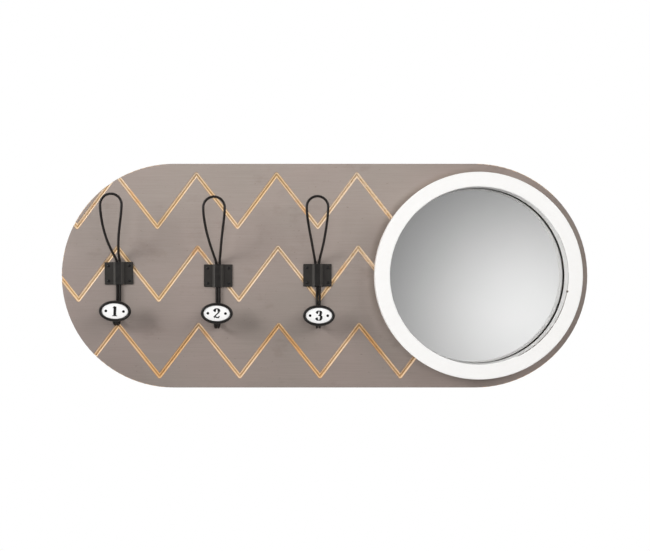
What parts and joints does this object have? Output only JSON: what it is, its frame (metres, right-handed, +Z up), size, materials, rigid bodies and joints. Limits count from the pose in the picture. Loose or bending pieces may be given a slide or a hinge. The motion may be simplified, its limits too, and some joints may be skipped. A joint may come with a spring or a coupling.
{
  "type": "wall mirror with hooks",
  "caption": "Long wall board with round ends, zigzag grooves, wire coat hooks with oval badges, and a round mirror in a raised ring at one end.",
  "frame": {"origin": "middle of the board's flat back face, on the wall's plane", "axes": "+X to the right along the board as seen from the front, +Y into the wall, +Z up; the front faces -Y"},
  "size_m": [0.7, 0.0576, 0.298],
  "materials": {
    "washed_board": "taupe wash paint over fibreboard veneer, matt",
    "white_paint": "white paint, satin",
    "mirror": "silvered glass",
    "white_foam": "white adhesive foam",
    "zinc_yellow": "yellow zinc",
    "black_wire": "black lacquer, satin",
    "black_sheet": "black lacquer, satin",
    "black_screw": "black lacquer, satin",
    "black_cup": "black lacquer, satin",
    "white_enamel": "white, glossy",
    "black_pin": "black lacquer, gloss",
    "zinc_plate": "bright zinc"
  },
  "bodies": {
    "root": {"board": "washed_board", "mirror_frame": "white_paint", "mirror_glass": "mirror", "mirror_pads": "white_foam", "mirror_frame_screws": "zinc_yellow", "hook_wire_1": "black_wire", "hook_bracket_1": "black_sheet", "bracket_screws_1": "black_screw", "badge_cup_1": "black_cup", "badge_plate_1": "white_enamel", "badge_pins_1": "black_pin", "hook_wire_2": "black_wire", "hook_bracket_2": "black_sheet", "bracket_screws_2": "black_screw", "badge_cup_2": "black_cup", "badge_plate_2": "white_enamel", "badge_pins_2": "black_pin", "hook_wire_3": "black_wire", "hook_bracket_3": "black_sheet", "bracket_screws_3": "black_screw", "badge_cup_3": "black_cup", "badge_plate_3": "white_enamel", "badge_pins_3": "black_pin", "hanger_plate_left": "zinc_plate", "hanger_screws_left": "zinc_plate", "hanger_plate_right": "zinc_plate", "hanger_screws_right": "zinc_plate"}
  },
  "joints": []
}
